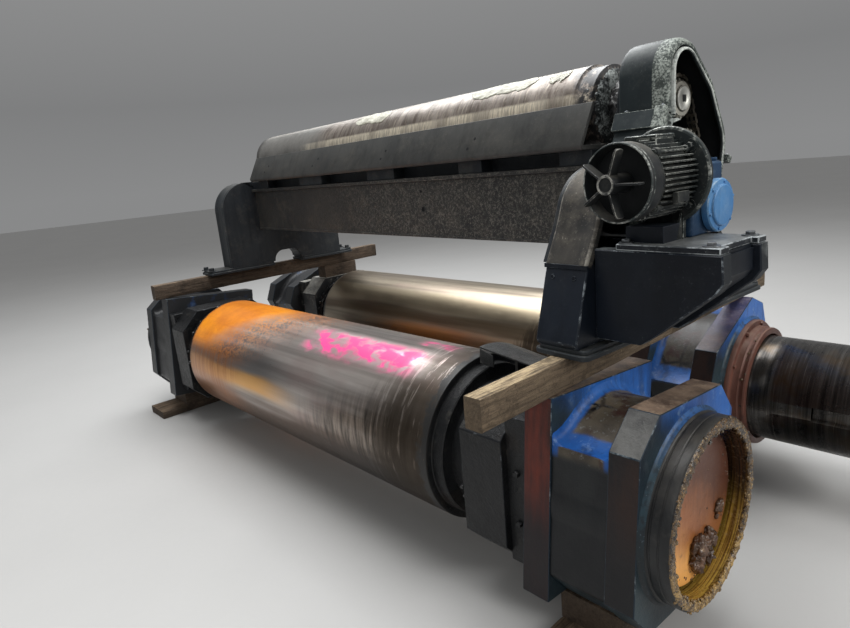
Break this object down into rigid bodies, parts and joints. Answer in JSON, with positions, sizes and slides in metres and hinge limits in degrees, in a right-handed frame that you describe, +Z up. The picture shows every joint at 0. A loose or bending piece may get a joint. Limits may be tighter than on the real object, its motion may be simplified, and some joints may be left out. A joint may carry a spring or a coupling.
{
  "type": "rolling mill stand",
  "caption": "Dismantled rubber mill stand: paired steel rolls in blue chocks on timbers, with a frame-mounted stock blender roll, chain guard and gear motor on top.",
  "frame": {"origin": "on the floor, at the middle of the overall box in plan", "axes": "+X along the mill rolls towards the drive neck, +Y from the front roll to the rear roll, +Z up"},
  "size_m": [4.385, 2.1, 1.834],
  "materials": {
    "roll_steel": "worn, partly coated with orange rust preventive",
    "roll_steel_rear": "ground, lightly oiled",
    "end_cap_tan": "greased, tan preservative",
    "chock_blue": "chipped blue paint, rusty machined faces, grease",
    "ring_dark": "dark oiled iron",
    "cover_rust": "red-brown rust",
    "greasy_black": "black grease over iron",
    "wood_new": "rough sawn softwood",
    "wood_old": "weathered sawn softwood",
    "frame_paint": "old dark paint, pale worn edges",
    "beam_grey": "scuffed grey-black, speckled",
    "blender_steel": "streaked steel with dried rubber",
    "guard_paint": "dark grey-green, worn rims",
    "chain_steel": "greasy steel",
    "bare_plate": "pale bare steel",
    "bracket_paint": "dark blue-black paint",
    "motor_paint": "dark grey paint, dusty",
    "fan_black": "dusty black",
    "reducer_blue": "dirty blue paint",
    "cap_blue": "light blue paint"
  },
  "bodies": {
    "stand": {"chock_front_right": "chock_blue", "chock_front_left": "chock_blue", "chock_rear_right": "chock_blue", "chock_rear_left": "chock_blue", "cover_ring_front_right": "ring_dark", "cover_ring_front_left": "ring_dark", "bearing_cover_rear_right": "cover_rust", "bearing_cover_rear_left": "cover_rust", "neck_shield_right": "greasy_black", "neck_shield_left": "greasy_black", "neck_shield_rear_right": "greasy_black", "neck_shield_rear_left": "greasy_black", "stock_guide_right": "greasy_black", "timber_right": "wood_new", "timber_left": "wood_old", "floor_bearer_right": "wood_old", "floor_bearer_left": "wood_old", "packers_right": "wood_old", "packers_left": "wood_old", "end_frame_right": "frame_paint", "end_frame_left": "frame_paint", "frame_foot_right": "frame_paint", "frame_foot_left": "frame_paint", "leg_cover_right": "frame_paint", "cross_beam": "beam_grey", "beam_rail": "beam_grey", "shelf_posts": "frame_paint", "shelf_plate": "beam_grey", "rear_tie_beam": "beam_grey", "roll_bearing_right": "frame_paint", "roll_bearing_left": "frame_paint", "guard_upper": "guard_paint", "guard_lower": "guard_paint", "drive_chain": "chain_steel", "motor_bracket": "bracket_paint", "motor_base_plate": "bracket_paint", "motor_body": "motor_paint", "motor_end_ring": "motor_paint", "motor_terminal_box": "motor_paint", "motor_flange": "motor_paint", "reducer_housing": "reducer_blue", "reducer_cap": "cap_blue"},
    "front_roll": {"front_roll": "roll_steel", "front_roll_end_cap": "end_cap_tan"},
    "rear_roll": {"rear_roll": "roll_steel_rear"},
    "blender_roll": {"blender_roll": "blender_steel", "roll_sprocket": "chain_steel", "shaft_end_disc": "bare_plate"},
    "tension_sprocket": {"tension_sprocket": "chain_steel"},
    "drive_sprocket": {"drive_sprocket": "chain_steel"},
    "motor_fan": {"motor_fan": "fan_black"}
  },
  "joints": [
    {"name": "front_roll_spin", "type": "hinge", "parent": "stand", "child": "front_roll", "pos_m": [0.0175, -0.496, 0.464], "axis": [1, 0, 0], "continuous": true},
    {"name": "rear_roll_spin", "type": "hinge", "parent": "stand", "child": "rear_roll", "pos_m": [-0.2375, 0.65, 0.44], "axis": [1, 0, 0], "continuous": true},
    {"name": "blender_roll_spin", "type": "hinge", "parent": "stand", "child": "blender_roll", "pos_m": [0.0175, 0.051, 1.654], "axis": [0.9973, -0.0732, 0], "continuous": true},
    {"name": "tension_sprocket_spin", "type": "hinge", "parent": "stand", "child": "tension_sprocket", "pos_m": [1.63832, -0.01087, 1.483], "axis": [0.9973, -0.0732, 0], "continuous": true},
    {"name": "drive_sprocket_spin", "type": "hinge", "parent": "stand", "child": "drive_sprocket", "pos_m": [1.61789, -0.28912, 1.332], "axis": [0.9973, -0.0732, 0], "continuous": true},
    {"name": "motor_fan_spin", "type": "hinge", "parent": "stand", "child": "motor_fan", "pos_m": [1.76494, -0.64886, 1.426], "axis": [0.0732, 0.9973, 0], "continuous": true}
  ],
  "couplings": [
    {"joint": "tension_sprocket_spin", "follows": "blender_roll_spin", "ratio": 0.84},
    {"joint": "drive_sprocket_spin", "follows": "blender_roll_spin", "ratio": 1.1053},
    {"joint": "motor_fan_spin", "follows": "blender_roll_spin", "ratio": 22.105}
  ]
}
